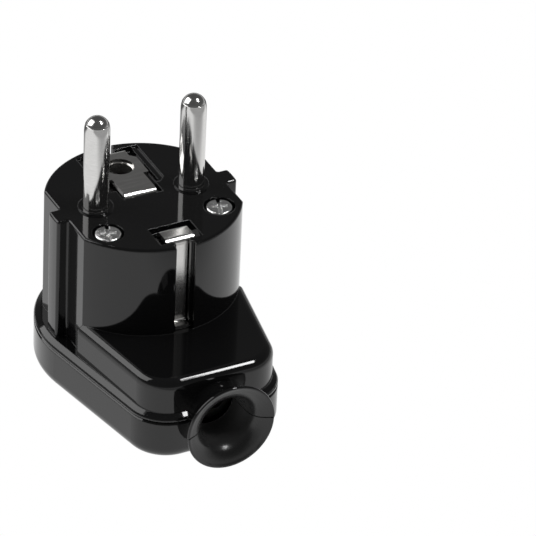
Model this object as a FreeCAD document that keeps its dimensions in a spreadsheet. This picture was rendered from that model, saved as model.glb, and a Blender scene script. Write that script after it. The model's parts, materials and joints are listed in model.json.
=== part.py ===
"""Angled rewirable plug, type F, with an earth-pin hole.

The frame is the plug standing on its back: +Z runs along the pins, -Y towards the cord,
and the origin lies on the cover's flat back, on the axis midway between the pins.
"""
import FreeCAD, Part
import math
import os
import re
import Sketcher
from FreeCAD import Placement, Rotation, Vector

SIZES = {
    # overall form
    "plug_height": 34.5, "seam_height": 8.0, "body_radius": 17.9, "flat_depth": 2.17,
    "rib_half": 2.0, "flange_rim": 0.9, "ledge_rise": 0.65, "ledge_run": 1.2,
    "ledge_width": 1.54, "front_ledge": 1.1,
    "corner_radius": 7.64, "corner_offset": 6.97, "front_reach": 32.85,
    "wedge_rise": 8.15, "wedge_edge": 1.8, "face_edge": 0.5,
    "cover_edge": 2.4, "flange_edge": 0.25, "seam_bevel": 0.3, "seam_gap": 0.4, "seam_depth": 0.8, "key_root": 0.4, "key_edge": 0.55,
    # shells
    "wall": 2.2, "cover_floor": 2.2, "face_block": 7.0, "fit_gap": 0.1,
    "tab_rise": 1.5, "tab_thickness": 1.3, "rear_tab_half": 5.0, "front_tab_width": 2.0,
    # cord bell
    "bell_reach": 5.1, "bell_radius": 8.3, "bell_lip": 0.15, "bell_edge": 0.35,
    "bell_neck": 6.0, "bell_flare": 5.05, "bell_gap_angle": 1.5, "cord_radius": 4.8,
    # cord clamp
    "clamp_distance": 24.5, "clamp_spacing": 15.0, "clamp_drop": 1.4, "clamp_width": 6.0,
    "clamp_thickness": 2.0, "clamp_dip": 1.6, "clamp_cradle": 4.0, "clamp_margin": 2.6,
    "clamp_boss_radius": 2.8, "grip_rise": 2.2, "grip_width": 1.2, "grip_half": 4.0,
    "grip_pitch": 3.6,
    # live pins
    "pin_radius": 2.4, "pin_spacing": 19.0, "pin_reach": 19.0, "pin_shank_radius": 2.6,
    "pin_head_radius": 3.8,
    "pin_head_length": 10.0, "wire_hole_radius": 1.5, "wire_hole_rise": 3.6,
    "collar_radius": 3.2, "collar_height": 0.55, "stop_wall": 1.0,
    # earth bracket and earth socket
    "strip_thickness": 0.8, "bend_radius": 0.9, "strip_half": 1.3, "strip_recess": 2.3,
    "bracket_half": 3.1, "hook_half": 2.75, "plate_rise": 0.15, "plate_half": 4.2,
    "plate_start": 6.7, "plate_corner": 1.0, "plate_margin": 5.0, "rear_riser": 1.2,
    "hook_length": 4.0, "foot_length": 1.9, "earth_hole_radius": 2.6,
    "earth_hole_offset": 10.1, "socket_bore": 2.4, "socket_wall": 0.6,
    "socket_length": 17.0, "socket_rim": 0.5, "socket_slit": 0.8, "terminal_offset": 5.0,
    # contact slots and recesses of the housing
    "slot_half": 1.9, "slot_step": 1.2, "slot_gap": 0.2, "spring_room": 0.6,
    "recess_half": 6.1, "recess_step": 1.1, "recess_depth": 1.2, "recess_shelf": 0.45,
    "recess_start": 3.2, "recess_neck": 3.9, "recess_corner": 1.2, "hook_recess_half": 4.1,
    "recess_margin": 0.8,
    # screws and nuts
    "screw_spacing": 22.0, "screw_offset": 8.5, "screw_radius": 1.45, "screw_head_radius": 2.4,
    "screw_head_height": 1.8, "counterbore_radius": 2.9, "counterbore_depth": 2.2,
    "screw_boss_radius": 3.3, "nut_width": 5.5, "nut_thickness": 2.4, "nut_wall": 1.0,
    "screw_overrun": 1.2, "thread_gap": 0.02, "thread_chamfer": 0.3,
    "clamp_screw_length": 7.5, "terminal_screw_radius": 1.5, "terminal_head_radius": 2.2,
    "terminal_screw_length": 2.0, "terminal_head_height": 1.5, "earth_screw_radius": 2.0,
    "earth_head_radius": 3.1, "earth_head_height": 2.2, "washer_side": 7.0,
    "washer_thickness": 1.0, "earth_nut_side": 7.0, "earth_nut_thickness": 3.0,
    "cross_width": 0.8, "cross_depth": 1.0,
}

doc = FreeCAD.newDocument("plug")
sheet = doc.addObject("Spreadsheet::Sheet", "Dims")
for row, (alias, value) in enumerate(SIZES.items(), start=1):
    sheet.set(f"A{row}", alias)
    sheet.set(f"B{row}", str(value))
    sheet.setAlias(f"B{row}", alias)
reader = doc.addObject("App::FeaturePython", "Reader")
reader.addProperty("App::PropertyFloat", "Number")
doc.recompute()


# Places measured from the round body's radius, usable by name in every expression
PLACES = {
    "flat_offset": "(body_radius - flat_depth)",
    "strip_face": "(body_radius - strip_recess)",
    "plate_end": "(body_radius - plate_margin)",
    "front_riser": "(body_radius - strip_recess - hook_length)",
}


def dims(text):
    """An expression whose size names point at the sheet."""
    text = re.sub(r"[a-z_]+", lambda m: PLACES.get(m.group(), m.group()), text)
    return re.sub(r"[a-z_]+", lambda m: "Dims." + m.group() if m.group() in SIZES else m.group(), text)


def number(text):
    """What an expression of the sizes comes to."""
    reader.setExpression("Number", dims(text))
    reader.recompute()
    return reader.Number


# Places that several pieces share, as expressions of the driving dimensions
RIM_TOP = "(seam_height + flange_rim)"
FLANGE_TOP = "(seam_height + flange_rim + ledge_rise)"
WEDGE_TOP = "(seam_height + wedge_rise)"
WEDGE_CEILING = "(seam_height + wedge_rise - wall)"
CEILING = "(plug_height - face_block)"
PIN_END = "(plug_height - face_block - pin_head_length)"
COLLAR_TOP = "(plug_height + collar_height)"
RECESS_FLOOR = "(plug_height - recess_depth)"
SHELL_INSET = "(ledge_width + wall)"
FLAT_END = "sqrt(body_radius ^ 2 - flat_offset ^ 2)"
PLATE_TOP = "(plug_height + plate_rise)"
CLAMP_SEAT = "(seam_height - clamp_drop)"
NUT_SEAT = "(seam_height - nut_thickness - fit_gap)"
SCREW_SEAT = "(plug_height - counterbore_depth)"
PIN_X = "(pin_spacing / 2)"
SCREW_X = "(screw_spacing / 2)"
CLAMP_X = "(clamp_spacing / 2)"
SLOT_INNER = "(strip_half + slot_gap)"
STRIP_MIDDLE = "(strip_face - strip_thickness / 2)"
BOTH_SIDES = ("-", "")


def body(label):
    new = doc.addObject("PartDesign::Body", label)
    new.Label = label
    return new


def moved(owner, x="0", y="0", z="0", upside_down=False):
    """Places a body by expressions, turned over about X where asked."""
    if upside_down:
        owner.Placement = Placement(Vector(0, 0, 0), Rotation(Vector(1, 0, 0), 180))
    for axis, value in zip("xyz", (x, y, z)):
        owner.setExpression(f".Placement.Base.{axis}", dims(value))


def plane(owner, role):
    return next(item for item in owner.Origin.OriginFeatures if item.Role == role)


def sketch(owner, name, role="XY_Plane", offset=None):
    """A sketch on one of the body's origin planes, moved along that plane's normal."""
    new = owner.newObject("Sketcher::SketchObject", f"{owner.Name}_{name}")
    new.AttachmentSupport = [(plane(owner, role), "")]
    new.MapMode = "FlatFace"
    if offset:
        new.setExpression(".AttachmentOffset.Base.z", dims(offset))
    return new


def bound(where, kind, *items):
    """A dimensional constraint whose last item is the expression that drives it."""
    index = where.addConstraint(Sketcher.Constraint(kind, *items[:-1], number(items[-1])))
    where.setExpression(f"Constraints[{index}]", dims(items[-1]))


def place(where, geometry, point, x, y):
    """Fixes one point of a sketch; an empty string puts it on the axis."""
    for kind, axis, value in (("DistanceX", -2, x), ("DistanceY", -1, y)):
        if value:
            bound(where, kind, -1, 1, geometry, point, value)
        else:
            where.addConstraint(Sketcher.Constraint("PointOnObject", geometry, point, axis))


def spot(x, y):
    return Vector(number(x or "0"), number(y or "0"), 0)


def polygon(where, points):
    """A closed polygon whose corners are pairs of expressions."""
    count = len(points)
    first = where.GeometryCount
    spots = [spot(x, y) for x, y in points]
    for i in range(count):
        where.addGeometry(Part.LineSegment(spots[i], spots[(i + 1) % count]))
    for i in range(count):
        after = first + (i + 1) % count
        where.addConstraint(Sketcher.Constraint("Coincident", first + i, 2, after, 1))
    for i, (x, y) in enumerate(points):
        place(where, first + i, 1, x, y)


def rectangle(where, left, right, low, high):
    polygon(where, [(left, low), (right, low), (right, high), (left, high)])


def circle(where, x, y, radius):
    index = where.addGeometry(Part.Circle(spot(x, y), Vector(0, 0, 1), number(radius)))
    place(where, index, 3, x, y)
    bound(where, "Radius", index, radius)


def arc(centre, radius, low, high):
    return Part.ArcOfCircle(Part.Circle(centre, Vector(0, 0, 1), radius), low, high)


def outline(where, inset, front_inset=""):
    """The plan of the plug: a round rear, tapering sides, round front corners, a straight front."""
    front_inset = front_inset or inset
    rear = number(f"body_radius + ledge_width - {inset}")
    corner = number(f"corner_radius - {front_inset}")
    x = number("corner_offset")
    y = number("front_reach - corner_radius")
    tilt = math.acos((rear - corner) / math.hypot(x, y)) - math.atan2(y, x)
    way = Vector(math.cos(tilt), math.sin(tilt), 0)
    start, end = way * rear, Vector(x, -y, 0) + way * corner

    def mirrored(point):
        return Vector(-point.x, point.y, 0)

    first = where.GeometryCount
    where.addGeometry([
        arc(Vector(0, 0, 0), rear, tilt, math.pi - tilt),
        Part.LineSegment(mirrored(start), mirrored(end)),
        arc(Vector(-x, -y, 0), corner, math.pi - tilt, 1.5 * math.pi),
        Part.LineSegment(Vector(-x, -y - corner, 0), Vector(x, -y - corner, 0)),
        arc(Vector(x, -y, 0), corner, -0.5 * math.pi, tilt),
        Part.LineSegment(end, start),
    ], False)
    rear_arc, left_line, left_arc, front_line, right_arc, right_line = range(first, first + 6)
    ring = [rear_arc, left_line, left_arc, front_line, right_arc, right_line, rear_arc]
    for one, two in zip(ring, ring[1:]):
        where.addConstraint(Sketcher.Constraint("Tangent", one, 2, two, 1))
    where.addConstraint(Sketcher.Constraint("Coincident", rear_arc, 3, -1, 1))
    where.addConstraint(Sketcher.Constraint("Equal", left_arc, right_arc))
    where.addConstraint(Sketcher.Constraint("Symmetric", left_arc, 3, right_arc, 3, -2))
    bound(where, "Radius", rear_arc, f"body_radius + ledge_width - {inset}")
    bound(where, "Radius", right_arc, f"corner_radius - {front_inset}")
    bound(where, "DistanceX", -1, 1, right_arc, 3, "corner_offset")
    bound(where, "DistanceY", -1, 1, front_line, 1, f"-(front_reach - {front_inset})")


def flatted_circle(where, radius, half):
    """A circle cut by a flat on each side."""
    wide, across = number(radius), number(half)
    rise = math.acos(across / wide)
    height = wide * math.sin(rise)
    centre = Vector(0, 0, 0)
    first = where.GeometryCount
    where.addGeometry([
        arc(centre, wide, rise, math.pi - rise),
        Part.LineSegment(Vector(-across, height, 0), Vector(-across, -height, 0)),
        arc(centre, wide, math.pi + rise, 2 * math.pi - rise),
        Part.LineSegment(Vector(across, -height, 0), Vector(across, height, 0)),
    ], False)
    for i in range(4):
        where.addConstraint(Sketcher.Constraint("Coincident", first + i, 2, first + (i + 1) % 4, 1))
    for curve in (first, first + 2):
        where.addConstraint(Sketcher.Constraint("Coincident", curve, 3, -1, 1))
    for line in (first + 1, first + 3):
        where.addConstraint(Sketcher.Constraint("Vertical", line))
    where.addConstraint(Sketcher.Constraint("Equal", first, first + 2))
    bound(where, "Radius", first, radius)
    bound(where, "DistanceX", -1, 1, first + 1, 1, f"-({half})")
    bound(where, "DistanceX", -1, 1, first + 3, 1, half)


def rounded_outline(where, corners):
    """A closed outline of level and upright runs; a corner with a radius is rounded."""
    spots = [spot(x, y) for x, y, _ in corners]
    radii = [number(radius or "0") for _, _, radius in corners]
    ways = [(after - here).normalize() for here, after in zip(spots, spots[1:] + spots[:1])]
    first = where.GeometryCount
    for i, way in enumerate(ways):
        after = (i + 1) % len(spots)
        where.addGeometry(Part.LineSegment(spots[i] + way * radii[i], spots[after] - way * radii[after]))
    for i, (x, y, radius) in enumerate(corners):
        line, before = first + i, first + (i - 1) % len(corners)
        level = abs(ways[i].y) < 0.5
        where.addConstraint(Sketcher.Constraint("Horizontal" if level else "Vertical", line))
        bound(where, "DistanceY" if level else "DistanceX", -1, 1, line, 1, y if level else x)
        if not radius:
            where.addConstraint(Sketcher.Constraint("Coincident", before, 2, line, 1))
            continue
        back, onward = ways[i - 1] * radii[i], ways[i] * radii[i]
        mid = spots[i] + (onward - back) * (1 - math.sqrt(0.5))
        ends = [spots[i] - back, spots[i] + onward]
        leftward = back.x * onward.y > back.y * onward.x
        start, end = ends if leftward else ends[::-1]
        curve = where.addGeometry(Part.Arc(start, mid, end))
        where.addConstraint(Sketcher.Constraint("Tangent", before, 2, curve, 1 if leftward else 2))
        where.addConstraint(Sketcher.Constraint("Tangent", curve, 2 if leftward else 1, line, 1))
        bound(where, "Radius", curve, radius)


def folded_strip(where, corners, thickness, radius):
    """The side view of a strip folded at right angles, from the corners of its middle line."""
    spots = [spot(x, y) for x, y in corners]
    ways = [(after - here).normalize() for here, after in zip(spots, spots[1:])]
    edges = {1: [], -1: []}
    for i, (x, y) in enumerate(corners):
        before, after = ways[max(i - 1, 0)], ways[min(i, len(ways) - 1)]
        turn = round(before.x * after.y - before.y * after.x)
        across = Vector(-before.y, before.x, 0) + Vector(-after.y, after.x, 0) * abs(turn)
        for side, edge in edges.items():
            edge.append((
                f"{x} + ({round(side * across.x)}) * {thickness} / 2",
                f"{y} + ({round(side * across.y)}) * {thickness} / 2",
                f"{radius} - ({side * turn}) * {thickness} / 2" if turn else "",
            ))
    rounded_outline(where, edges[1] + edges[-1][::-1])


def pad(owner, profile, length, reverse=False):
    new = owner.newObject("PartDesign::Pad", profile.Name + "_pad")
    new.Profile = profile
    new.Reversed = reverse
    new.setExpression("Length", dims(length))
    return new


def pocket(owner, profile, length, reverse=False):
    """Cuts against the sketch's normal, or along it when reversed."""
    new = owner.newObject("PartDesign::Pocket", profile.Name + "_pocket")
    new.Profile = profile
    new.Reversed = reverse
    new.setExpression("Length", dims(length))
    doc.recompute()
    if new.Shape.Volume > new.BaseFeature.Shape.Volume - 0.001:
        raise RuntimeError(new.Name + " cuts nothing")
    return new


def revolve(owner, profile, axis, angle=360.0):
    new = owner.newObject("PartDesign::Revolution", profile.Name + "_turned")
    new.Profile = profile
    new.ReferenceAxis = (profile, [axis])
    new.Angle = angle
    new.Midplane = angle < 360.0
    return new


def dress(owner, kind, name, radius, chosen):
    """A fillet or chamfer on the edges of the tip that the test picks."""
    doc.recompute()
    base = owner.Tip
    picked = [f"Edge{i}" for i, edge in enumerate(base.Shape.Edges, start=1) if chosen(edge)]
    if not picked:
        raise RuntimeError(name + " finds no edge")
    new = owner.newObject("PartDesign::" + kind, f"{owner.Name}_{name}")
    new.Base = (base, picked)
    new.setExpression("Radius" if kind == "Fillet" else "Size", dims(radius))
    doc.recompute()
    return new


def flat_at(edge, height):
    """Whether an edge lies wholly at a height."""
    box = edge.BoundBox
    return abs(box.ZMin - height) < 1e-4 and abs(box.ZMax - height) < 1e-4


def middle(edge):
    return edge.valueAt((edge.FirstParameter + edge.LastParameter) / 2)


def curved_outline(where, stops):
    """A closed outline; a stop's radius bends the run that leaves it, to the left if positive."""
    spots = [spot(x, y) for x, y, _ in stops]
    first = where.GeometryCount
    ends = []
    for i, (_, _, radius) in enumerate(stops):
        here, there = spots[i], spots[(i + 1) % len(stops)]
        ends.append((1, 2))
        if not radius:
            where.addGeometry(Part.LineSegment(here, there))
            continue
        bend = number(radius)
        across = Vector(here.y - there.y, there.x - here.x, 0).normalize()
        half = (there - here).Length / 2
        centre = (here + there) / 2 + across * math.copysign(math.sqrt(bend ** 2 - half ** 2), bend)
        start, end = (here, there) if bend > 0 else (there, here)
        angles = [math.atan2(point.y - centre.y, point.x - centre.x) for point in (start, end)]
        where.addGeometry(arc(centre, abs(bend), angles[0], angles[1] + (angles[1] < angles[0]) * 2 * math.pi))
        if bend < 0:
            ends[-1] = (2, 1)
    for i, (x, y, radius) in enumerate(stops):
        after = (i + 1) % len(stops)
        where.addConstraint(Sketcher.Constraint("Coincident", first + i, ends[i][1], first + after, ends[after][0]))
        place(where, first + i, ends[i][0], x, y)
        if radius:
            bound(where, "Radius", first + i, f"abs({radius})")


def bell(owner, side, gap):
    """Half of the trumpet-shaped cord bell, turned about the cord's axis on the seam plane."""
    profile = sketch(owner, "bell", "YZ_Plane")
    inside = "-(front_reach - ledge_width - wall)"
    rim = "-(front_reach + bell_reach)"
    throat = f"{rim} + bell_flare"
    flare_rise = "(bell_radius - bell_lip - cord_radius)"
    back_rise = "(bell_radius - bell_neck)"
    back_run = "(bell_flare - bell_edge - bell_neck + cord_radius)"
    turn = "" if side == "+" else "-"

    def height(radius):
        return f"seam_height {side} ({radius})"

    def sweep(run, rise):
        return f"({run} ^ 2 + {rise} ^ 2) / (2 * {rise})"

    curved_outline(profile, [
        (inside, height("cord_radius"), ""),
        (throat, height("cord_radius"), f"-{turn}({sweep('bell_flare', flare_rise)})".replace("--", "")),
        (rim, height("bell_radius - bell_lip"), f"-{turn}bell_edge".replace("--", "")),
        (f"{rim} + bell_edge", height("bell_radius"), f"{turn}({sweep(back_run, back_rise)})"),
        (f"{rim} + bell_edge + {back_run}", height("bell_neck"), ""),
        (inside, height("bell_neck"), ""),
    ])
    axis = profile.addGeometry(Part.LineSegment(spot(rim, "seam_height"), spot(inside, "seam_height")), True)
    place(profile, axis, 1, rim, "seam_height")
    place(profile, axis, 2, inside, "seam_height")
    half = revolve(owner, profile, "Axis0", 180.0)
    half.setExpression("Angle", dims(f"180 - {gap}"))
    return half


def cord_way(owner, inset):
    """The round passage for the cord through the front wall."""
    way = sketch(owner, "cord_way", "XZ_Plane", f"front_reach - {inset} - wall")
    circle(way, "", "seam_height", "cord_radius")
    pocket(owner, way, f"wall + {inset}", True)


def front_housing():
    """Face, keyed round body, flange, raised cord channel and upper half of the bell."""
    part = body("front_housing")
    foot = sketch(part, "foot", offset="seam_height")
    outline(foot, "seam_depth")
    pad(part, foot, "seam_gap")
    flange = sketch(part, "flange", offset="seam_height + seam_gap")
    outline(flange, "0")
    pad(part, flange, "flange_rim - seam_gap")
    slope = sketch(part, "slope", offset=RIM_TOP)
    outline(slope, "0")
    ledge = pad(part, slope, "ledge_rise")
    ledge.setExpression("TaperAngle", dims("-atan(ledge_run / ledge_rise)"))
    rim_top = number(RIM_TOP)
    dress(part, "Chamfer", "flange_edges", "flange_edge", lambda edge: flat_at(edge, rim_top))
    wedge = sketch(part, "wedge", offset="seam_height")
    outline(wedge, "ledge_width", "front_ledge")
    pad(part, wedge, "wedge_rise")
    wedge_top = number(WEDGE_TOP)
    dress(part, "Fillet", "wedge_edges", "wedge_edge", lambda edge: flat_at(edge, wedge_top))
    barrel = sketch(part, "barrel", offset="seam_height")
    circle(barrel, "", "", "body_radius")
    pad(part, barrel, "plug_height - seam_height")
    housing_key(part)
    bell(part, "+", "0")
    collars = sketch(part, "collars", offset="plug_height")
    for sign in BOTH_SIDES:
        circle(collars, f"{sign}{PIN_X}", "", "collar_radius")
    pad(part, collars, "collar_height")
    housing_cavity(part)
    housing_face(part)
    housing_holes(part)
    return part


def housing_key(part):
    """The two flats with their ribs, which key the plug in its socket."""
    flats = sketch(part, "flats", offset="plug_height")
    clear = "(body_radius + ledge_width + 1)"
    for sign in BOTH_SIDES:
        inward = sign or "+"
        root = f"{sign}(flat_offset + key_root)"
        curved_outline(flats, [
            (f"{sign}{clear}", clear, ""),
            (f"{sign}flat_offset", clear, ""),
            (f"{sign}flat_offset", "rib_half + key_root", f"{inward}key_root"),
            (root, "rib_half", ""),
            (f"{sign}{clear}", "rib_half", ""),
        ])
        curved_outline(flats, [
            (f"{sign}{clear}", "-rib_half", ""),
            (root, "-rib_half", f"{inward}key_root"),
            (f"{sign}flat_offset", "-(rib_half + key_root)", ""),
            (f"{sign}flat_offset", f"-{FLAT_END}", ""),
            (f"{sign}{clear}", f"-{FLAT_END}", ""),
        ])
    pocket(part, flats, f"plug_height - {FLANGE_TOP}")
    face, ledge = number("plug_height"), number(FLANGE_TOP)
    rear, rib = number(FLAT_END) - 0.01, number("rib_half") + 0.01

    def chosen(edge):
        box, point = edge.BoundBox, middle(edge)
        upright = box.XLength + box.YLength < 0.001 and box.ZMin < ledge + 0.01
        outer = math.hypot(point.x, point.y) > number("body_radius") - 0.01
        return upright and outer and (abs(point.y) < rib or point.y > rear)

    dress(part, "Fillet", "key_edges", "key_edge", chosen)
    dress(part, "Fillet", "face_edges", "face_edge", lambda edge: flat_at(edge, face))


def housing_cavity(part):
    """The hollow for the wires and terminals, with its screw columns and clamp bosses."""
    channel = sketch(part, "channel", offset="seam_height")
    outline(channel, SHELL_INSET)
    pocket(part, channel, "wedge_rise - wall", True)
    cheeks = sketch(part, "cheeks", offset="seam_height")
    for sign in BOTH_SIDES:
        rectangle(cheeks, f"{sign}(flat_offset - wall)", f"{sign}flat_offset", f"-{FLAT_END}", FLAT_END)
    pad(part, cheeks, "wedge_rise - wall")
    chamber = sketch(part, "chamber", offset="seam_height")
    flatted_circle(chamber, "body_radius - wall", "flat_offset - wall")
    pocket(part, chamber, f"{CEILING} - seam_height", True)
    columns = sketch(part, "columns", offset="seam_height")
    for sign in BOTH_SIDES:
        circle(columns, f"{sign}{SCREW_X}", "-screw_offset", "screw_boss_radius")
    pad(part, columns, f"{CEILING} - seam_height")
    bosses = sketch(part, "clamp_bosses", offset=CLAMP_SEAT)
    for sign in BOTH_SIDES:
        circle(bosses, f"{sign}{CLAMP_X}", "-clamp_distance", "clamp_boss_radius")
    pad(part, bosses, f"{WEDGE_CEILING} - {CLAMP_SEAT}")
    grips = sketch(part, "grips", offset=WEDGE_CEILING)
    for sign in BOTH_SIDES:
        middle_line = f"-clamp_distance {sign or '+'} grip_pitch / 2"
        rectangle(grips, "-grip_half", "grip_half", f"{middle_line} - grip_width / 2",
                  f"{middle_line} + grip_width / 2")
    pad(part, grips, "grip_rise", True)


def housing_face(part):
    """The stepped recess of the earth plate, the hook's recess and the side contact slots."""
    back = "(strip_face + slot_gap)"
    for name, half, depth in (("shelf", "recess_half", "recess_shelf"),
                              ("recess", "(recess_half - recess_step)", "recess_depth")):
        shape = sketch(part, name, offset="plug_height")
        low = "rear_riser - strip_thickness / 2 - recess_margin"
        corner = "(recess_start + recess_corner)"
        polygon(shape, [
            (f"-{half}", back), (f"-{half}", corner),
            (f"-({half} - recess_corner)", "recess_start"), ("-recess_neck", "recess_start"),
            ("-recess_neck", low), ("recess_neck", low),
            ("recess_neck", "recess_start"), (f"({half} - recess_corner)", "recess_start"),
            (half, corner), (half, back),
        ])
        pocket(part, shape, depth)
    hook = sketch(part, "hook_recess", offset="plug_height")
    rectangle(hook, "-hook_recess_half", "hook_recess_half", f"-{back}",
              "-(front_riser - strip_thickness / 2 - recess_margin)")
    pocket(part, hook, "recess_depth")
    for name, sign, reverse in (("front", "", False), ("rear", "-", True)):
        outer = sketch(part, name + "_slot", "XZ_Plane", f"{sign}(body_radius + 1)")
        rectangle(outer, "-slot_half", "slot_half", WEDGE_TOP, "plug_height + 1")
        pocket(part, outer, "slot_step + 1", reverse)
        inner = sketch(part, name + "_spring_room", "XZ_Plane", f"{sign}(body_radius + 1)")
        rectangle(inner, f"-{SLOT_INNER}", SLOT_INNER, WEDGE_TOP, "plug_height + 1")
        pocket(part, inner, "1 + body_radius - strip_face + strip_thickness + spring_room", reverse)


def housing_holes(part):
    """Bores for pins, screws, risers, earth socket, earth nut and cord."""
    bores = sketch(part, "pin_bores", offset="plug_height + collar_height")
    for sign in BOTH_SIDES:
        circle(bores, f"{sign}{PIN_X}", "", "pin_shank_radius + fit_gap / 2")
    pocket(part, bores, "face_block + collar_height")
    seats = sketch(part, "counterbores", offset="plug_height")
    for sign in BOTH_SIDES:
        circle(seats, f"{sign}{SCREW_X}", "-screw_offset", "counterbore_radius")
    pocket(part, seats, "counterbore_depth")
    ways = sketch(part, "screw_ways", offset="plug_height")
    for sign in BOTH_SIDES:
        circle(ways, f"{sign}{SCREW_X}", "-screw_offset", "screw_radius + fit_gap")
    pocket(part, ways, "plug_height - seam_height")
    threads = sketch(part, "clamp_threads", offset=CLAMP_SEAT)
    for sign in BOTH_SIDES:
        circle(threads, f"{sign}{CLAMP_X}", "-clamp_distance", "screw_radius + thread_gap")
    pocket(part, threads, f"{WEDGE_CEILING} - {CLAMP_SEAT}", True)
    risers = sketch(part, "riser_slots", offset=RECESS_FLOOR)
    for half, centre in (("bracket_half", "rear_riser"), ("hook_half", "-front_riser")):
        room = "(strip_thickness / 2 + fit_gap)"
        rectangle(risers, f"-({half} + fit_gap)", f"({half} + fit_gap)", f"{centre} - {room}",
                  f"{centre} + {room}")
    circle(risers, "", "earth_hole_offset", "socket_bore + socket_wall + fit_gap")
    pocket(part, risers, f"{RECESS_FLOOR} - {CEILING}")
    reliefs = sketch(part, "bend_reliefs", offset=CEILING)
    for centre, toward in (("rear_riser", "-"), ("-front_riser", "+")):
        rectangle(reliefs, "-(bracket_half + fit_gap)", "(bracket_half + fit_gap)", centre,
                  f"{centre} {toward} (bend_radius + fit_gap)")
    pocket(part, reliefs, "bend_radius - strip_thickness / 2 + fit_gap", True)
    nut = sketch(part, "nut_pocket", offset=CEILING)
    half = "(earth_nut_side / 2 + fit_gap)"
    rectangle(nut, f"-{half}", half, f"-terminal_offset - {half}", f"-terminal_offset + {half}")
    pocket(part, nut, "earth_nut_thickness + fit_gap", True)
    tip = sketch(part, "earth_screw_room", offset=CEILING)
    circle(tip, "", "-terminal_offset", "earth_screw_radius + fit_gap")
    pocket(part, tip, "earth_nut_thickness + screw_overrun + fit_gap", True)
    cord_way(part, "ledge_width")


def rear_cover():
    """Flat-backed cover with the lower half of the bell, pin stops, nut bosses and tabs."""
    part = body("rear_cover")
    shell = sketch(part, "shell")
    outline(shell, "0")
    pad(part, shell, "seam_height")
    seam = number("seam_height")
    dress(part, "Chamfer", "seam_bevel", "seam_bevel", lambda edge: flat_at(edge, seam))
    dress(part, "Fillet", "back_edges", "cover_edge", lambda edge: flat_at(edge, 0.0))
    bell(part, "-", "bell_gap_angle")
    hollow = sketch(part, "hollow", offset="seam_height")
    outline(hollow, "wall")
    pocket(part, hollow, "seam_height - cover_floor")
    bosses = sketch(part, "nut_bosses", offset="cover_floor")
    for sign in BOTH_SIDES:
        circle(bosses, f"{sign}{SCREW_X}", "-screw_offset", "nut_width / sqrt(3) + nut_wall")
    pad(part, bosses, "seam_height - cover_floor")
    stops = sketch(part, "pin_stops", offset="cover_floor")
    for sign in BOTH_SIDES:
        circle(stops, f"{sign}{PIN_X}", "", "pin_head_radius")
        circle(stops, f"{sign}{PIN_X}", "", "pin_head_radius - stop_wall")
    pad(part, stops, f"{PIN_END} - cover_floor")
    tabs = sketch(part, "tabs", offset="cover_floor")
    rear = "(sqrt((body_radius - wall) ^ 2 - rear_tab_half ^ 2) - fit_gap)"
    rectangle(tabs, "-rear_tab_half", "rear_tab_half", f"{rear} - tab_thickness", rear)
    front = f"-(front_reach - {SHELL_INSET} - fit_gap)"
    for sign in BOTH_SIDES:
        rectangle(tabs, f"{sign}(corner_offset - front_tab_width)", f"{sign}corner_offset",
                  front, f"{front} + tab_thickness")
    pad(part, tabs, "seam_height + tab_rise - cover_floor")
    nuts = sketch(part, "nut_pockets", offset="seam_height")
    for sign in BOTH_SIDES:
        hexagon(nuts, f"{sign}{SCREW_X}", "-screw_offset", "nut_width / 2 + fit_gap")
    pocket(part, nuts, "nut_thickness + fit_gap")
    ends = sketch(part, "screw_ends", offset="seam_height")
    for sign in BOTH_SIDES:
        circle(ends, f"{sign}{SCREW_X}", "-screw_offset", "screw_radius + fit_gap")
    pocket(part, ends, "nut_thickness + 2 * fit_gap + screw_overrun")
    cord_way(part, "0")
    return part


def hexagon(where, x, y, inner_radius):
    """A hexagon with two sides square to X, given by half its width across the flats."""
    side = f"({inner_radius}) / sqrt(3)"
    polygon(where, [
        (f"{x} + ({inner_radius})", f"{y} - {side}"), (f"{x} + ({inner_radius})", f"{y} + {side}"),
        (x, f"{y} + 2 * {side}"),
        (f"{x} - ({inner_radius})", f"{y} + {side}"), (f"{x} - ({inner_radius})", f"{y} - {side}"),
        (x, f"{y} - 2 * {side}"),
    ])


def live_pin(label, sign):
    """A turned pin: round-ended shank, shouldered head with wire hole and screw thread."""
    part = body(label)
    profile = sketch(part, "profile", "XZ_Plane")
    tip = "plug_height + pin_reach"
    points = [
        ("", PIN_END), ("pin_head_radius", PIN_END), ("pin_head_radius", CEILING),
        ("pin_shank_radius", CEILING), ("pin_shank_radius", COLLAR_TOP),
        ("pin_radius", COLLAR_TOP), ("pin_radius", f"{tip} - pin_radius"), ("", tip),
    ]
    spots = [spot(x, y) for x, y in points]
    for start, end in zip(spots[:6], spots[1:7]):
        profile.addGeometry(Part.LineSegment(start, end))
    profile.addGeometry(arc(spot("", f"{tip} - pin_radius"), number("pin_radius"), 0, math.pi / 2))
    profile.addGeometry(Part.LineSegment(spots[7], spots[0]))
    for i in range(8):
        profile.addConstraint(Sketcher.Constraint("Coincident", i, 2, (i + 1) % 8, 1))
    for i, (x, y) in enumerate(points[:7]):
        place(profile, i, 1, x, y)
    place(profile, 6, 3, "", f"{tip} - pin_radius")
    profile.addConstraint(Sketcher.Constraint("PointOnObject", 7, 1, -2))
    revolve(part, profile, "V_Axis")
    wire = sketch(part, "wire_hole", "XZ_Plane", "pin_head_radius + 1")
    circle(wire, "", f"{PIN_END} + wire_hole_rise", "wire_hole_radius")
    pocket(part, wire, "2 * pin_head_radius + 2")
    thread = sketch(part, "thread", offset=PIN_END)
    circle(thread, "", "", "terminal_screw_radius + thread_gap")
    pocket(part, thread, "wire_hole_rise", True)
    moved(part, x=f"{sign}{PIN_X}")
    return part


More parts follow.
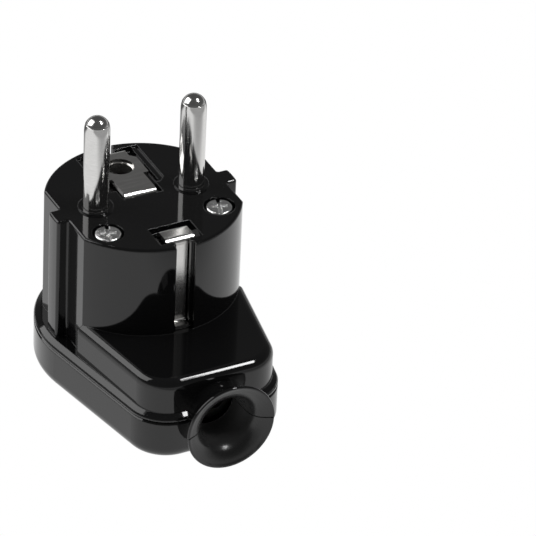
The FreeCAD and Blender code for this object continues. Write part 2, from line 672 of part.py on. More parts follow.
def screw(label, stem, length, head, head_height, x, y, z, upside_down=False):
    """A pan-head screw with a combined cross and slot, its seat at the given place."""
    part = body(label)
    profile = sketch(part, "profile", "XZ_Plane")
    polygon(profile, [
        ("", f"-({length})"), (f"{stem} - thread_chamfer", f"-({length})"),
        (stem, f"-({length}) + thread_chamfer"), (stem, ""), (head, ""),
        (head, f"{head_height} * 0.4"), (f"{head} * 0.85", f"{head_height} * 0.82"),
        (f"{head} * 0.55", head_height), ("", head_height),
    ])
    revolve(part, profile, "V_Axis")
    cross = sketch(part, "cross", offset=head_height)
    arm, slim = f"{head} * 0.62", "cross_width / 2"
    long_arm = f"{head} * 0.8"
    polygon(cross, [
        (slim, f"-{arm}"), (slim, f"-{slim}"), (long_arm, f"-{slim}"), (long_arm, slim),
        (slim, slim), (slim, arm), (f"-{slim}", arm), (f"-{slim}", slim),
        (f"-{long_arm}", slim), (f"-{long_arm}", f"-{slim}"), (f"-{slim}", f"-{slim}"),
        (f"-{slim}", f"-{arm}"),
    ])
    pocket(part, cross, "cross_depth")
    moved(part, x, y, z, upside_down)
    return part


def pierced(label, blank, radius, height, x, y, z):
    """A nut or washer: a flat blank with a round hole through its middle."""
    hole = doc.addObject("Part::Cylinder", label + "_hole")
    hole.setExpression("Radius", dims(radius))
    hole.setExpression("Height", dims(f"{height} + 2"))
    hole.Placement.Base.z = -1
    part = doc.addObject("Part::Cut", label)
    part.Base, part.Tool = blank, hole
    part.Label = label
    moved(part, x, y, z)
    return part


def square_blank(label, side, height):
    blank = doc.addObject("Part::Box", label + "_blank")
    blank.setExpression("Length", dims(side))
    blank.setExpression("Width", dims(side))
    blank.setExpression("Height", dims(height))
    for axis in "xy":
        blank.setExpression(f".Placement.Base.{axis}", dims(f"-{side} / 2"))
    return blank


def hexagon_blank(label, width, height):
    blank = doc.addObject("Part::Prism", label + "_blank")
    blank.Polygon = 6
    blank.setExpression("Circumradius", dims(f"{width} / sqrt(3)"))
    blank.setExpression("Height", dims(height))
    blank.Placement.Rotation = Rotation(Vector(0, 0, 1), 30)
    return blank


def earth_bracket():
    """One folded strip: rear spring, plate with the earth hole, crossing, hook, front spring."""
    part = body("earth_bracket")
    foot = f"({WEDGE_TOP} + fit_gap + strip_thickness / 2)"
    top = f"({PLATE_TOP} - strip_thickness / 2)"
    under = f"({CEILING} - strip_thickness / 2)"
    side_view = sketch(part, "side_view", "YZ_Plane", "-plate_half")
    folded_strip(side_view, [
        (f"({STRIP_MIDDLE} + foot_length)", foot), (STRIP_MIDDLE, foot), (STRIP_MIDDLE, top),
        ("rear_riser", top), ("rear_riser", under), ("-front_riser", under),
        ("-front_riser", top), (f"-{STRIP_MIDDLE}", top), (f"-{STRIP_MIDDLE}", foot),
        (f"-({STRIP_MIDDLE} + foot_length)", foot),
    ], "strip_thickness", "bend_radius")
    pad(part, side_view, "2 * plate_half")
    past = "(plate_half + 1)"
    for name, sign, reverse in (("front", "", False), ("rear", "-", True)):
        trim = sketch(part, name + "_spring", "XZ_Plane", f"{sign}({STRIP_MIDDLE} + foot_length + 1)")
        for side in BOTH_SIDES:
            rectangle(trim, f"{side}strip_half", f"{side}{past}", f"{WEDGE_TOP} - 1",
                      f"{top} - bend_radius")
        pocket(part, trim, "foot_length + 1 + strip_thickness + bend_radius", reverse)
    plan = sketch(part, "plan", offset=f"{PLATE_TOP} + 1")
    far = f"({STRIP_MIDDLE} + foot_length + 1)"
    step = "-(front_riser - strip_thickness)"
    shoulder = "(plate_half - plate_corner)"
    for side in BOTH_SIDES:
        rectangle(plan, f"{side}bracket_half", f"{side}{past}", step, "plate_start")
        rectangle(plan, f"{side}hook_half", f"{side}{past}", f"-{far}", step)
        polygon(plan, [
            (f"{side}{shoulder}", far), (f"{side}{past}", far),
            (f"{side}{past}", "plate_end - plate_corner"),
            (f"{side}plate_half", "plate_end - plate_corner"), (f"{side}{shoulder}", "plate_end"),
        ])
    pocket(part, plan, f"{PLATE_TOP} + 1 - {CEILING} + 2 * strip_thickness")
    holes = sketch(part, "holes", offset=f"{PLATE_TOP} + 1")
    circle(holes, "", "earth_hole_offset", "earth_hole_radius")
    circle(holes, "", "-terminal_offset", "earth_screw_radius + fit_gap")
    pocket(part, holes, f"{PLATE_TOP} + 1 - {CEILING} + 2 * strip_thickness")
    return part


def earth_socket():
    """A rimmed sleeve with two slits, which grips the socket's earth pin."""
    part = body("earth_socket")
    profile = sketch(part, "profile", "XZ_Plane")
    outer = "(socket_bore + socket_wall)"
    rim_top = f"({PLATE_TOP} - strip_thickness)"
    polygon(profile, [
        ("socket_bore", f"{RECESS_FLOOR} - socket_length"), (outer, f"{RECESS_FLOOR} - socket_length"),
        (outer, RECESS_FLOOR), (f"{outer} + socket_rim", RECESS_FLOOR),
        (f"{outer} + socket_rim", rim_top), ("socket_bore", rim_top),
    ])
    revolve(part, profile, "V_Axis")
    slit = sketch(part, "slit", "XZ_Plane", "socket_bore + socket_wall + 1")
    rectangle(slit, "-socket_slit / 2", "socket_slit / 2", f"{RECESS_FLOOR} - socket_length - 1",
              f"{CEILING} - socket_slit")
    pocket(part, slit, "2 * (socket_bore + socket_wall) + 2")
    moved(part, y="earth_hole_offset")
    return part


def cord_clamp_bar():
    """A pressed bar with a cradle for the cord and a screw hole at each end."""
    part = body("cord_clamp_bar")
    profile = sketch(part, "profile", "XZ_Plane", "clamp_distance - clamp_width / 2")
    end = f"({CLAMP_X} + clamp_margin)"
    bottom = f"({CLAMP_SEAT} - clamp_thickness)"
    slope = "clamp_cradle - clamp_dip"
    polygon(profile, [
        (f"-{end}", CLAMP_SEAT), ("-clamp_cradle", CLAMP_SEAT),
        (f"-({slope})", f"{CLAMP_SEAT} - clamp_dip"), (slope, f"{CLAMP_SEAT} - clamp_dip"),
        ("clamp_cradle", CLAMP_SEAT), (end, CLAMP_SEAT), (end, bottom),
        ("clamp_cradle + clamp_dip / 4", bottom), (f"{slope} + clamp_dip / 4", f"{bottom} - clamp_dip"),
        (f"-({slope} + clamp_dip / 4)", f"{bottom} - clamp_dip"),
        ("-(clamp_cradle + clamp_dip / 4)", bottom), (f"-{end}", bottom),
    ])
    pad(part, profile, "clamp_width")
    holes = sketch(part, "holes", offset=CLAMP_SEAT)
    for sign in BOTH_SIDES:
        circle(holes, f"{sign}{CLAMP_X}", "-clamp_distance", "screw_radius + fit_gap")
    pocket(part, holes, "clamp_thickness")
    return part


def build():
    parts = [front_housing(), rear_cover(), earth_bracket(), earth_socket(), cord_clamp_bar()]
    sides = (("left", "-"), ("right", ""))
    for label, sign in (("line", "-"), ("neutral", "")):
        parts.append(live_pin(f"{label}_pin", sign))
        parts.append(screw(f"{label}_terminal_screw", "terminal_screw_radius", "terminal_screw_length",
                           "terminal_head_radius", "terminal_head_height", f"{sign}{PIN_X}", "0",
                           PIN_END, upside_down=True))
    for name, sign in sides:
        parts.append(screw(f"housing_screw_{name}", "screw_radius",
                           f"{SCREW_SEAT} - {NUT_SEAT} + screw_overrun", "screw_head_radius",
                           "screw_head_height", f"{sign}{SCREW_X}", "-screw_offset", SCREW_SEAT))
        parts.append(pierced(f"housing_nut_{name}",
                             hexagon_blank(f"housing_nut_{name}", "nut_width", "nut_thickness"),
                             "screw_radius + thread_gap", "nut_thickness",
                             f"{sign}{SCREW_X}", "-screw_offset", NUT_SEAT))
        parts.append(screw(f"cord_clamp_screw_{name}", "screw_radius", "clamp_screw_length",
                           "screw_head_radius", "screw_head_height", f"{sign}{CLAMP_X}",
                           "-clamp_distance", f"{CLAMP_SEAT} - clamp_thickness", upside_down=True))
    plate_under = f"{CEILING} - strip_thickness"
    parts.append(pierced("earth_clamp_washer",
                         square_blank("earth_clamp_washer", "washer_side", "washer_thickness"),
                         "earth_screw_radius + fit_gap", "washer_thickness",
                         "0", "-terminal_offset", f"{plate_under} - washer_thickness"))
    parts.append(pierced("earth_terminal_nut",
                         square_blank("earth_terminal_nut", "earth_nut_side", "earth_nut_thickness"),
                         "earth_screw_radius + thread_gap", "earth_nut_thickness",
                         "0", "-terminal_offset", CEILING))
    parts.append(screw("earth_terminal_screw", "earth_screw_radius",
                       "washer_thickness + strip_thickness + earth_nut_thickness + screw_overrun",
                       "earth_head_radius", "earth_head_height", "0", "-terminal_offset",
                       f"{plate_under} - washer_thickness", upside_down=True))
    return parts


def write(parts):
    """Recomputes, checks every object and writes each part to its own file."""
    doc.recompute()
    failed = [item.Name for item in doc.Objects if {"Invalid", "Error"} & set(item.State)]
    for part in parts:
        shape = part.Shape
        if shape.isNull() or not shape.isValid() or len(shape.Solids) != 1:
            failed.append(f"{part.Label} shape")
    if failed:
        raise RuntimeError("failed: " + ", ".join(failed))
    os.makedirs("parts", exist_ok=True)
    for part in parts:
        part.Shape.exportStep(f"parts/{part.Label}.step")
        print(part.Label, round(part.Shape.Volume, 1))


write(build())
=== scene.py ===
"""Looks of the angled type F plug: glossy black mouldings, plated pins, contacts and screws."""
import json
import math

import bmesh
import bpy
from mathutils import Matrix, Vector

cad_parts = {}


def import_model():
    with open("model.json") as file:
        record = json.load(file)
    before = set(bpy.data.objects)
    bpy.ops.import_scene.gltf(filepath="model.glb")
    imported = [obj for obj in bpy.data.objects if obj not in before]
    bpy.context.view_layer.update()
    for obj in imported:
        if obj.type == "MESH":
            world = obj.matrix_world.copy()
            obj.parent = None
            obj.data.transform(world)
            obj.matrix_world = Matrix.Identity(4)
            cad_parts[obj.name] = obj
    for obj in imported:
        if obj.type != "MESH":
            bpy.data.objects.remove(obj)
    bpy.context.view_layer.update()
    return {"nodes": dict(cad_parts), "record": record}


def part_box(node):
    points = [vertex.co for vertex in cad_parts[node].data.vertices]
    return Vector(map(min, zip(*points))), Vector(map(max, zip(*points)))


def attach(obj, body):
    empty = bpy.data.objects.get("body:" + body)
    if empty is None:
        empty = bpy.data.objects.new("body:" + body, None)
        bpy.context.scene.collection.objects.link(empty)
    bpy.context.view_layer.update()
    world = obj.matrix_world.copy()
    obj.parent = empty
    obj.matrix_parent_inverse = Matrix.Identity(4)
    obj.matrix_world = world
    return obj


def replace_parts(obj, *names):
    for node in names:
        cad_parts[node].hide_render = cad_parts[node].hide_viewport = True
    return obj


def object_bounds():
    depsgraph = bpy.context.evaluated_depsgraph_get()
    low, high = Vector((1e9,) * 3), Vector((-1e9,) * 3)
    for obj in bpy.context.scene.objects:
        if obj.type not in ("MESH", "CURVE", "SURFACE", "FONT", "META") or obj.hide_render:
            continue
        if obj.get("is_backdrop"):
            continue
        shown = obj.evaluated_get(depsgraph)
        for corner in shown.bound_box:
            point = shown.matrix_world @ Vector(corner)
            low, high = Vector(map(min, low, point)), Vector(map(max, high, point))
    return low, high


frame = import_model()
nodes = frame["nodes"]
slots = {part["node"]: part["material_slot"] for part in frame["record"]["subparts"]}

# Places that the finer forms share with the solids, in millimetres
MM = 0.001
X, Y, Z = Vector((1, 0, 0)), Vector((0, 1, 0)), Vector((0, 0, 1))
mounts = {mount["name"]: [along / MM for along in mount["pos_m"]]
          for mount in frame["record"]["mounts"]}
COLLAR_RISE = 0.55          # how far the solids' pin collars stand above the face
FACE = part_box("front_housing")[1][2] / MM - COLLAR_RISE
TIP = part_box("neutral_pin")[1][2] / MM
PIN_OFFSET = mounts["neutral_pin"][0]
SCREW_X, SCREW_Y = 11.0, -8.5
BELL_HEIGHT = mounts["cord_entry"][2]
BELL_START = 29.2           # where the bell's tube begins, from the middle
HIDDEN_TOP = 34.2           # just under the face, where the fine shanks begin


# Materials
def material(name):
    new = bpy.data.materials.new(name)
    new.use_nodes = True
    tree = new.node_tree
    return new, tree, tree.nodes["Principled BSDF"]


def node(tree, kind, **values):
    """A shader node; each value is set as its property or else as its socket."""
    new = tree.nodes.new(kind)
    for key, value in values.items():
        if hasattr(new, key):
            setattr(new, key, value)
        else:
            new.inputs[key.replace("_", " ")].default_value = value
    return new


def noise(tree, place, scale=1.0, detail=2.0):
    new = node(tree, "ShaderNodeTexNoise", Scale=scale, Detail=detail)
    tree.links.new(place, new.inputs["Vector"])
    return new.outputs["Fac"]


def stretched(tree, place, scale):
    new = node(tree, "ShaderNodeMapping", Scale=scale)
    tree.links.new(place, new.inputs["Vector"])
    return new.outputs["Vector"]


def ranged(tree, value, span, result, way="LINEAR"):
    """A value's span drawn over another range."""
    new = node(tree, "ShaderNodeMapRange", interpolation_type=way, From_Min=span[0],
               From_Max=span[1], To_Min=result[0], To_Max=result[1])
    tree.links.new(value, new.inputs["Value"])
    return new.outputs["Result"]


def bumped(tree, shader, height, strength, distance, edge_radius=None):
    """Fine marks on a surface, and edges rounded by a radius in millimetres where one is given."""
    new = node(tree, "ShaderNodeBump", Strength=strength, Distance=distance)
    tree.links.new(height, new.inputs["Height"])
    if edge_radius:
        edge = node(tree, "ShaderNodeBevel", samples=6, Radius=edge_radius * MM)
        tree.links.new(edge.outputs["Normal"], new.inputs["Normal"])
    tree.links.new(new.outputs["Normal"], shader.inputs["Normal"])


def gloss_black():
    new, tree, shader = material("moulding_gloss_black")
    shader.inputs["Base Color"].default_value = (0.005, 0.005, 0.0052, 1)
    shader.inputs["IOR"].default_value = 1.5
    place = node(tree, "ShaderNodeTexCoord").outputs["Object"]
    cloud = noise(tree, place, scale=90.0, detail=3.0)
    rough = ranged(tree, cloud, span=(0, 1), result=(0.045, 0.085))
    tree.links.new(rough, shader.inputs["Roughness"])
    wave = noise(tree, place, scale=260.0)
    bumped(tree, shader, wave, strength=0.03, distance=0.2 * MM, edge_radius=0.22)
    return new


def satin_black():
    """The cord bell's duller moulding, with painted light that makes it paler down its tube, and
    marks along its wall.
    """
    new, tree, shader = material("moulding_satin_black")
    shader.inputs["IOR"].default_value = 1.5
    shader.inputs["Roughness"].default_value = 0.25
    place = node(tree, "ShaderNodeUVMap", uv_map="along").outputs["UV"]
    axes = node(tree, "ShaderNodeSeparateXYZ")
    tree.links.new(place, axes.inputs[0])
    # Painted light: the base colour is paler where the tube runs deep, fading to the black
    # moulding towards the flare.
    painted_tube_light = ranged(tree, axes.outputs["Y"], span=(0.03, 0.085), result=(0.09, 0.007),
                   way="SMOOTHSTEP")
    tree.links.new(painted_tube_light, shader.inputs["Base Color"])
    marks = noise(tree, stretched(tree, place, scale=(220, 30, 1)))
    bumped(tree, shader, marks, strength=0.12, distance=0.1 * MM, edge_radius=0.15)
    return new


def metal(name, colour, rough, stretch, strength):
    """Plated metal with fine marks drawn out along the axes where the stretch is small."""
    new, tree, shader = material(name)
    shader.inputs["Metallic"].default_value = 1.0
    place = node(tree, "ShaderNodeTexCoord").outputs["Object"]
    marks = noise(tree, stretched(tree, place, stretch), detail=4.0)
    darker, smoothest, roughest = 0.86, 0.75, 1.3
    tint = node(tree, "ShaderNodeValToRGB")
    dull, bright = tint.color_ramp.elements
    dull.position, bright.position = 0.25, 0.75
    dull.color = (*[darker * level for level in colour], 1)
    bright.color = (*colour, 1)
    tree.links.new(marks, tint.inputs["Fac"])
    tree.links.new(tint.outputs["Color"], shader.inputs["Base Color"])
    spread = ranged(tree, marks, span=(0, 1), result=(rough * smoothest, rough * roughest))
    tree.links.new(spread, shader.inputs["Roughness"])
    bumped(tree, shader, marks, strength, distance=0.05 * MM)
    return new


LOOKS = {
    "moulding": gloss_black(),
    "pins": metal("pin_nickel", colour=(0.72, 0.715, 0.705), rough=0.13,
                  stretch=(900, 900, 7000), strength=0.045),
    "contact": metal("contact_plating", colour=(0.9, 0.89, 0.87), rough=0.2,
                     stretch=(300, 1600, 1600), strength=0.14),
    "screws": metal("screw_zinc", colour=(0.97, 0.97, 0.97), rough=0.22,
                    stretch=(1300, 1300, 1300), strength=3.0),
    "clamp": metal("clamp_steel", colour=(0.7, 0.7, 0.69), rough=0.3,
                   stretch=(400, 1500, 400), strength=0.25),
}
for name, slot in slots.items():
    mesh = nodes[name].data
    mesh.materials.clear()
    mesh.materials.append(LOOKS[slot])


# Outlines and new pieces
def rounded(corners, steps=5):
    """A closed outline whose corners (x, y, radius) are rounded by short arcs."""
    points = []
    for i, (x, y, radius) in enumerate(corners):
        here = Vector((x, y))
        if not radius:
            points.append(here)
            continue
        before = (Vector(corners[i - 1][:2]) - here).normalized()
        after = (Vector(corners[(i + 1) % len(corners)][:2]) - here).normalized()
        half = before.angle(after) / 2
        centre = here + (before + after).normalized() * (radius / math.sin(half))
        start = here + before * (radius / math.tan(half)) - centre
        end = here + after * (radius / math.tan(half)) - centre
        turn = math.atan2(start.x * end.y - start.y * end.x, start.dot(end))
        for step in range(steps + 1):
            points.append(centre + Matrix.Rotation(turn * step / steps, 2) @ start)
    return points


def smooth(points, steps=6):
    """A curve through points, a few short runs between each pair."""
    ends = [2 * Vector(points[0]) - Vector(points[1])] + [Vector(point) for point in points]
    ends.append(2 * ends[-1] - ends[-2])
    curve = []
    for a, b, c, d in zip(ends, ends[1:], ends[2:], ends[3:]):
        for step in range(steps):
            t = step / steps
            curve.append(0.5 * (2 * b + (c - a) * t + (2 * a - 5 * b + 4 * c - d) * t ** 2
                                + (3 * b - 3 * c + d - a) * t ** 3))
    return curve + [ends[-2]]


def placed(name, mesh):
    """A mesh as a piece that rides with the plug."""
    new = bpy.data.objects.new(name, mesh)
    bpy.context.collection.objects.link(new)
    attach(new, "root")
    return new


def piece(name, points, faces, look, uvs=None):
    """A new piece from points in millimetres, smooth but for its sharp edges."""
    sharp = math.radians(38)
    mesh = bpy.data.meshes.new(name)
    mesh.from_pydata([Vector(point) * MM for point in points], [], faces)
    if uvs:
        layer = mesh.uv_layers.new(name="along")
        for loop in mesh.loops:
            layer.data[loop.index].uv = uvs[loop.vertex_index]
    work = bmesh.new()
    work.from_mesh(mesh)
    bmesh.ops.recalc_face_normals(work, faces=work.faces)
    work.to_mesh(mesh)
    work.free()
    mesh.shade_smooth()
    mesh.set_sharp_from_angle(angle=sharp)
    mesh.materials.append(look)
    return placed(name, mesh)


def turned(name, outline, centre, axis, zero, look, segments, start=0.0, sweep=None):
    """A closed outline of (radius, distance along the axis), turned about the axis."""
    side, centimetre = axis.cross(zero), 0.01
    stations = segments + 1 if sweep else segments
    run = [0.0]
    for one, two in zip(outline, outline[1:]):
        run.append(run[-1] + (two - one).length)
    points, uvs = [], []
    for i in range(stations):
        angle = start + (sweep or 2 * math.pi) * i / segments
        way = zero * math.cos(angle) + side * math.sin(angle)
        for (radius, along), length in zip(outline, run):
            points.append(centre + axis * along + way * radius)
            uvs.append((angle / (2 * math.pi), length * centimetre))
    count = len(outline)
    faces = []
    for i in range(segments):
        here, after = i * count, ((i + 1) % stations) * count
        for j in range(count):
            beside = (j + 1) % count
            faces.append((here + j, here + beside, after + beside, after + j))
    if sweep:
        faces.append(tuple(range(count)))
        faces.append(tuple(reversed(range(segments * count, stations * count))))
    return piece(name, points, faces, look, uvs)


def bell():
    """Both halves of the cord bell: a trumpet with a rounded lip, parted on the seam plane."""
    gap = 0.012                 # half the parting gap, as an angle
    tail_radius, lip_radius, lip_front, lip_back, lip_lean = 6.05, 0.26, 38.02, 37.4, 0.06
    inside = smooth([(4.45, BELL_START), (4.46, 31.4), (4.52, 32.6), (4.62, 33.7), (4.81, 34.94),
                     (5.18, 35.84), (5.84, 36.64), (6.8, 37.24), (7.8, 37.66)])
    outside = smooth([(8.15, 37.1), (7.55, 36.4), (6.95, 35.55), (6.45, 34.6), (6.15, 33.6),
                      (tail_radius, 32.4)])
    look = satin_black()
    for name, start, lip in (("cord_bell_upper", 0.0, 8.62), ("cord_bell_lower", math.pi, 8.52)):
        outline = rounded([(*point, 0) for point in inside]
                          + [(lip - lip_lean, lip_front, lip_radius), (lip, lip_back, lip_radius)]
                          + [(*point, 0) for point in outside] + [(tail_radius, BELL_START, 0)])
        half = turned(name, outline, Z * BELL_HEIGHT, -Y, X, look, segments=120,
                      start=start + gap, sweep=math.pi - 2 * gap)
        half.data.materials.append(LOOKS["moulding"])
        for polygon in half.data.polygons:
            parting_face = len(polygon.vertices) > 4
            if parting_face or polygon.index % len(outline) > len(inside) - 2:
                polygon.material_index = 1


def pin_shanks():
    """Straight shanks with a drawn-in shoulder, a fine step and a domed tip."""
    radius, dome_radius, dome_edge, steps = 2.35, 2.2925, math.radians(67.6), 24
    middle = 0.002              # the outline stops this short of the axis
    shoulder = smooth([(radius, 49.6), (radius, 50.3), (2.335, 50.9), (2.285, 51.4),
                       (2.2, 51.85)], 4)
    angles = [dome_edge * (1 - i / steps) for i in range(steps)]
    dome = [(dome_radius * math.sin(angle), TIP - dome_radius + dome_radius * math.cos(angle))
            for angle in angles]
    outline = [(radius, HIDDEN_TOP), *shoulder, (2.15, 52.06), *dome, (middle, TIP),
               (middle, HIDDEN_TOP)]
    for name, x in (("line_pin_shank", -PIN_OFFSET), ("neutral_pin_shank", PIN_OFFSET)):
        turned(name, [Vector(point) for point in outline], X * x, Z, X, LOOKS["pins"],
               segments=96)


def share(value):
    return min(max(value, 0), 1)


def recess(point, across, beside):
    """Depth of the screw's slot and cross at a point of its head."""
    slope, slot_half, slot_depth = 0.1, 0.36, 0.55
    cross_half, cross_reach, cross_end, cross_depth, cross_taper = 0.42, 1.5, 0.5, 1.05, 0.35
    along, off = abs(point.dot(across)), abs(point.dot(beside))
    arms = [min((cross_half - near) / slope, (cross_reach - far) / cross_end)
            for near, far in ((off, along), (along, off))]
    taper = 1 - cross_taper * point.length / cross_reach
    return max(cross_depth * share(max(arms)) * taper,
               slot_depth * share((slot_half - off) / slope))


def screw_heads():
    """Pan-head screws with a cross and a slot sunk into each head."""
    head, rim, top, seat, stem, end_bevel = 2.46, 2.1, 34.52, 32.3, 1.45, 0.3
    crown, rim_fall, middle_depth = 0.09, 0.42, 1.05
    turn, segments, ring_step, rings = 0.33, 144, 0.07, 32
    across = Vector((math.sin(turn), math.cos(turn)))
    beside = Vector((across.y, -across.x))
    radii = [i * ring_step for i in range(1, rings + 1)] + [2.29, 2.35, 2.4, 2.44, head]
    angles = [2 * math.pi * i / segments for i in range(segments)]
    ways = [Vector((math.cos(angle), math.sin(angle))) for angle in angles]
    for name, x in (("housing_screw_left", -SCREW_X), ("housing_screw_right", SCREW_X)):
        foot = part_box(name)[0][2] / MM
        centre = Vector((x, SCREW_Y))
        points, faces = [Vector((*centre, top - middle_depth))], []
        for radius in radii:
            edge = max(radius - rim, 0) / (head - rim)
            fall = crown * (radius / head) ** 2 + rim_fall * (1 - math.sqrt(max(1 - edge ** 2, 0)))
            for way in ways:
                z = top - fall - recess(way * radius, across, beside)
                points.append(Vector((*(centre + way * radius), z)))
        for radius, z in ((head, seat), (stem, seat), (stem, foot + end_bevel),
                          (stem - end_bevel, foot)):
            points += [Vector((*(centre + way * radius), z)) for way in ways]
        last = len(points) - segments
        for i in range(segments):
            after = (i + 1) % segments
            faces.append((0, 1 + i, 1 + after))
            for low in range(1, last, segments):
                high = low + segments
                faces.append((low + i, high + i, high + after, low + after))
        faces.append(tuple(range(last, len(points))))
        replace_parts(piece(name + "_fine", points, faces, LOOKS["screws"]), name)


# Solids with a form bent a little
def reshaped(name, warp, new_name):
    """A copy of a CAD node bent by a map of space in millimetres, its normals turned with it."""
    step, alike, folded = 0.002, 1e-6, 0.05
    mesh = nodes[name].data.copy()
    mesh.name = new_name
    normals = [Vector(corner.vector) for corner in mesh.corner_normals]
    turns = []
    for vertex in mesh.vertices:
        place = vertex.co / MM
        here = warp(place)
        slopes = Matrix([(warp(place + axis * step) - warp(place - axis * step)) / (2 * step)
                         for axis in (X, Y, Z)])
        still = (here - place).length < 1e-9 and all(
            abs(slopes[i][j] - (i == j)) < alike for i in range(3) for j in range(3))
        usable = abs(slopes.determinant()) >= folded and not still
        turns.append(slopes.inverted() if usable else None)
        vertex.co = here * MM
    for loop in mesh.loops:
        turn = turns[loop.vertex_index]
        if turn is not None:
            normals[loop.index] = (turn @ normals[loop.index]).normalized()
    mesh.normals_split_custom_set(normals)
    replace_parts(placed(new_name, mesh), name)


def without_bell(place):
    """The solid's own bell drawn in, so that it lies inside the wall of the fine one."""
    neck_end, bell_radius, wall_radius = -33.2, 8.7, 5
    shorter, narrower = 0.1, 0.12
    x, y, z = place
    radius = math.hypot(x, z - BELL_HEIGHT)
    if y < neck_end and radius < bell_radius:
        y = neck_end + (y - neck_end) * shorter
        narrow = (wall_radius + (radius - wall_radius) * narrower) / radius
        x, z = x * narrow, BELL_HEIGHT + (z - BELL_HEIGHT) * narrow
    return Vector((x, y, z))


def housing_warp(place):
    """Lower pin collars that close on the fine shanks, and the bell drawn in."""
    reach, mouth_reach, mouth, lower = 3.4, 2.7, 2.415, 0.6
    x, y, z = place
    for centre in (-PIN_OFFSET, PIN_OFFSET):
        radius = math.hypot(x - centre, y)
        if z > FACE and radius < reach:
            z = FACE + (z - FACE) * lower
            if radius < mouth_reach:
                x, y = centre + (x - centre) * mouth / radius, y * mouth / radius
    return without_bell(Vector((x, y, z)))


def pin_warp(place):
    """The solid's shank drawn in above the face, so that it lies inside the fine one."""
    narrow, shorter = 0.84, 0.95
    x, y, z = place
    centre = math.copysign(PIN_OFFSET, x)
    if z > HIDDEN_TOP:
        x, y = centre + (x - centre) * narrow, y * narrow
        z = HIDDEN_TOP + (z - HIDDEN_TOP) * shorter
    return Vector((x, y, z))


bell()
pin_shanks()
screw_heads()
reshaped("front_housing", housing_warp, "front_housing_fine")
reshaped("rear_cover", without_bell, "rear_cover_fine")
reshaped("line_pin", pin_warp, "line_pin_fine")
reshaped("neutral_pin", pin_warp, "neutral_pin_fine")


# Stage
def seen_or_lit(tree, out, lit, seen):
    """One shader for what the camera sees and one for what lights the plug."""
    mix = node(tree, "ShaderNodeMixShader")
    path = node(tree, "ShaderNodeLightPath")
    tree.links.new(path.outputs["Is Camera Ray"], mix.inputs[0])
    tree.links.new(lit.outputs[0], mix.inputs[1])
    tree.links.new(seen.outputs[0], mix.inputs[2])
    tree.links.new(mix.outputs[0], out.inputs[0])


def multiplied(tree, value, factor):
    new = node(tree, "ShaderNodeMath", operation="MULTIPLY")
    tree.links.new(value, new.inputs[0])
    if isinstance(factor, float):
        new.inputs[1].default_value = factor
    else:
        tree.links.new(factor, new.inputs[1])
    return new.outputs[0]


def floor():
    """A white floor; what it gives to reflections falls off behind the plug and far in front."""
    size, gap, strength = 1.2, 0.02 * MM, 0.95
    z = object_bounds()[0][2] - gap
    mesh = bpy.data.meshes.new("floor")
    mesh.from_pydata([(-size, -size, z), (size, -size, z), (size, size, z), (-size, size, z)], [],
                     [(0, 1, 2, 3)])
    new = bpy.data.objects.new("floor", mesh)
    bpy.context.collection.objects.link(new)
    look = bpy.data.materials.new("floor_white")
    look.use_nodes = True
    mesh.materials.append(look)
    tree = look.node_tree
    tree.nodes.clear()
    place = node(tree, "ShaderNodeTexCoord").outputs["Object"]
    levels = []
    for way, least in (((0.2, 0.98, 0), 0.12), ((0.35, -0.94, 0), 0.45)):
        along = node(tree, "ShaderNodeVectorMath", operation="DOT_PRODUCT")
        along.inputs[1].default_value = way
        tree.links.new(place, along.inputs[0])
        levels.append(ranged(tree, along.outputs["Value"], span=(0.045, 0.085),
                             result=(1.0, least), way="SMOOTHSTEP"))
    glow = node(tree, "ShaderNodeEmission")
    tree.links.new(multiplied(tree, multiplied(tree, *levels), strength), glow.inputs["Strength"])
    seen_or_lit(tree, node(tree, "ShaderNodeOutputMaterial"), glow,
                node(tree, "ShaderNodeEmission", Strength=1.0))
    new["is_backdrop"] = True


def world():
    """A studio that is bright at the horizon and dim overhead, on white."""
    sky = bpy.data.worlds.new("studio")
    bpy.context.scene.world = sky
    sky.use_nodes = True
    tree = sky.node_tree
    tree.nodes.clear()
    axes = node(tree, "ShaderNodeSeparateXYZ")
    tree.links.new(node(tree, "ShaderNodeTexCoord").outputs["Generated"], axes.inputs[0])
    ramp = node(tree, "ShaderNodeValToRGB")
    rise = ranged(tree, axes.outputs["Z"], span=(-1, 1), result=(0, 1))
    tree.links.new(rise, ramp.inputs["Fac"])
    stops = [(0.0, 0.95), (0.49, 0.95), (0.54, 0.4), (0.62, 0.12), (0.8, 0.09), (1.0, 0.09)]
    elements = ramp.color_ramp.elements
    for position, _ in stops[1:-1]:
        elements.new(position)
    for element, (position, level) in zip(elements, stops):
        element.position = position
        element.color = (level, level, level, 1)
    studio = node(tree, "ShaderNodeBackground")
    tree.links.new(ramp.outputs["Color"], studio.inputs["Color"])
    white = node(tree, "ShaderNodeBackground", Color=(1, 1, 1, 1))
    seen_or_lit(tree, node(tree, "ShaderNodeOutputWorld"), studio, white)


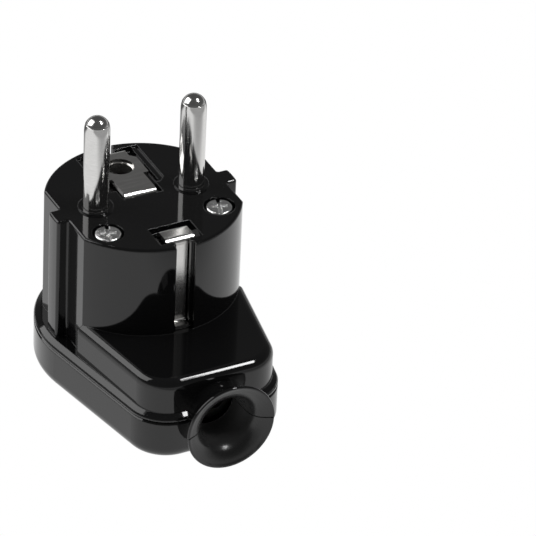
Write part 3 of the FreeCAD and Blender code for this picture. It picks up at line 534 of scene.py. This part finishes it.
def softbox(name, way, long_axis, size, radiance):
    """A soft light a metre off in a direction, facing the plug, its long side along an axis."""
    middle = Vector((0, 0, 0.02))
    light = bpy.data.lights.new(name, "AREA")
    light.shape = "RECTANGLE"
    light.size_y, light.size = size
    light.energy = radiance * math.pi * size[0] * size[1]
    new = bpy.data.objects.new(name, light)
    bpy.context.collection.objects.link(new)
    back = Vector(way).normalized()
    side = Vector(long_axis).cross(back).normalized()
    turn = Matrix((side, back.cross(side), back)).transposed().to_4x4()
    turn.translation = middle + back
    new.matrix_world = turn
    new.visible_camera = False


def camera():
    """A camera round the plug, with the middle of its face at a pixel of the square frame."""
    frame_size, sensor = 536, 36.0
    azimuth, elevation, roll = map(math.radians, (-28.1584446, 33.9548313, 2.6591566))
    focal, distance = 4756.1473, 854.60441 * MM
    face_at = (143.534645, 195.358342)
    back = Vector((math.sin(azimuth) * math.cos(elevation),
                   -math.cos(azimuth) * math.cos(elevation), math.sin(elevation)))
    flat_right = Vector((math.cos(azimuth), math.sin(azimuth), 0))
    flat_up = back.cross(flat_right)
    right = flat_right * math.cos(roll) + flat_up * math.sin(roll)
    up = flat_up * math.cos(roll) - flat_right * math.sin(roll)
    across, down = [(at - frame_size / 2) / focal * distance for at in face_at]
    lens = bpy.data.cameras.new("camera")
    lens.sensor_width = sensor
    lens.lens = focal / frame_size * sensor
    lens.clip_start, lens.clip_end = 0.05, 20.0
    new = bpy.data.objects.new("camera", lens)
    bpy.context.collection.objects.link(new)
    turn = Matrix((right, up, back)).transposed().to_4x4()
    turn.translation = Z * FACE * MM + back * distance - right * across + up * down
    new.matrix_world = turn
    bpy.context.scene.camera = new


floor()
world()
camera()
softbox("front_strip", way=(0.4235, -0.25, 0.86), long_axis=(0, 0.93, 0.36),
        size=(0.42, 0.133), radiance=24.0)
softbox("left_box", way=(-0.62, 0.48, 0.62), long_axis=(-0.08, -0.9, 0.42),
        size=(0.95, 0.76), radiance=2.6)
bpy.context.scene.view_settings.view_transform = "Standard"
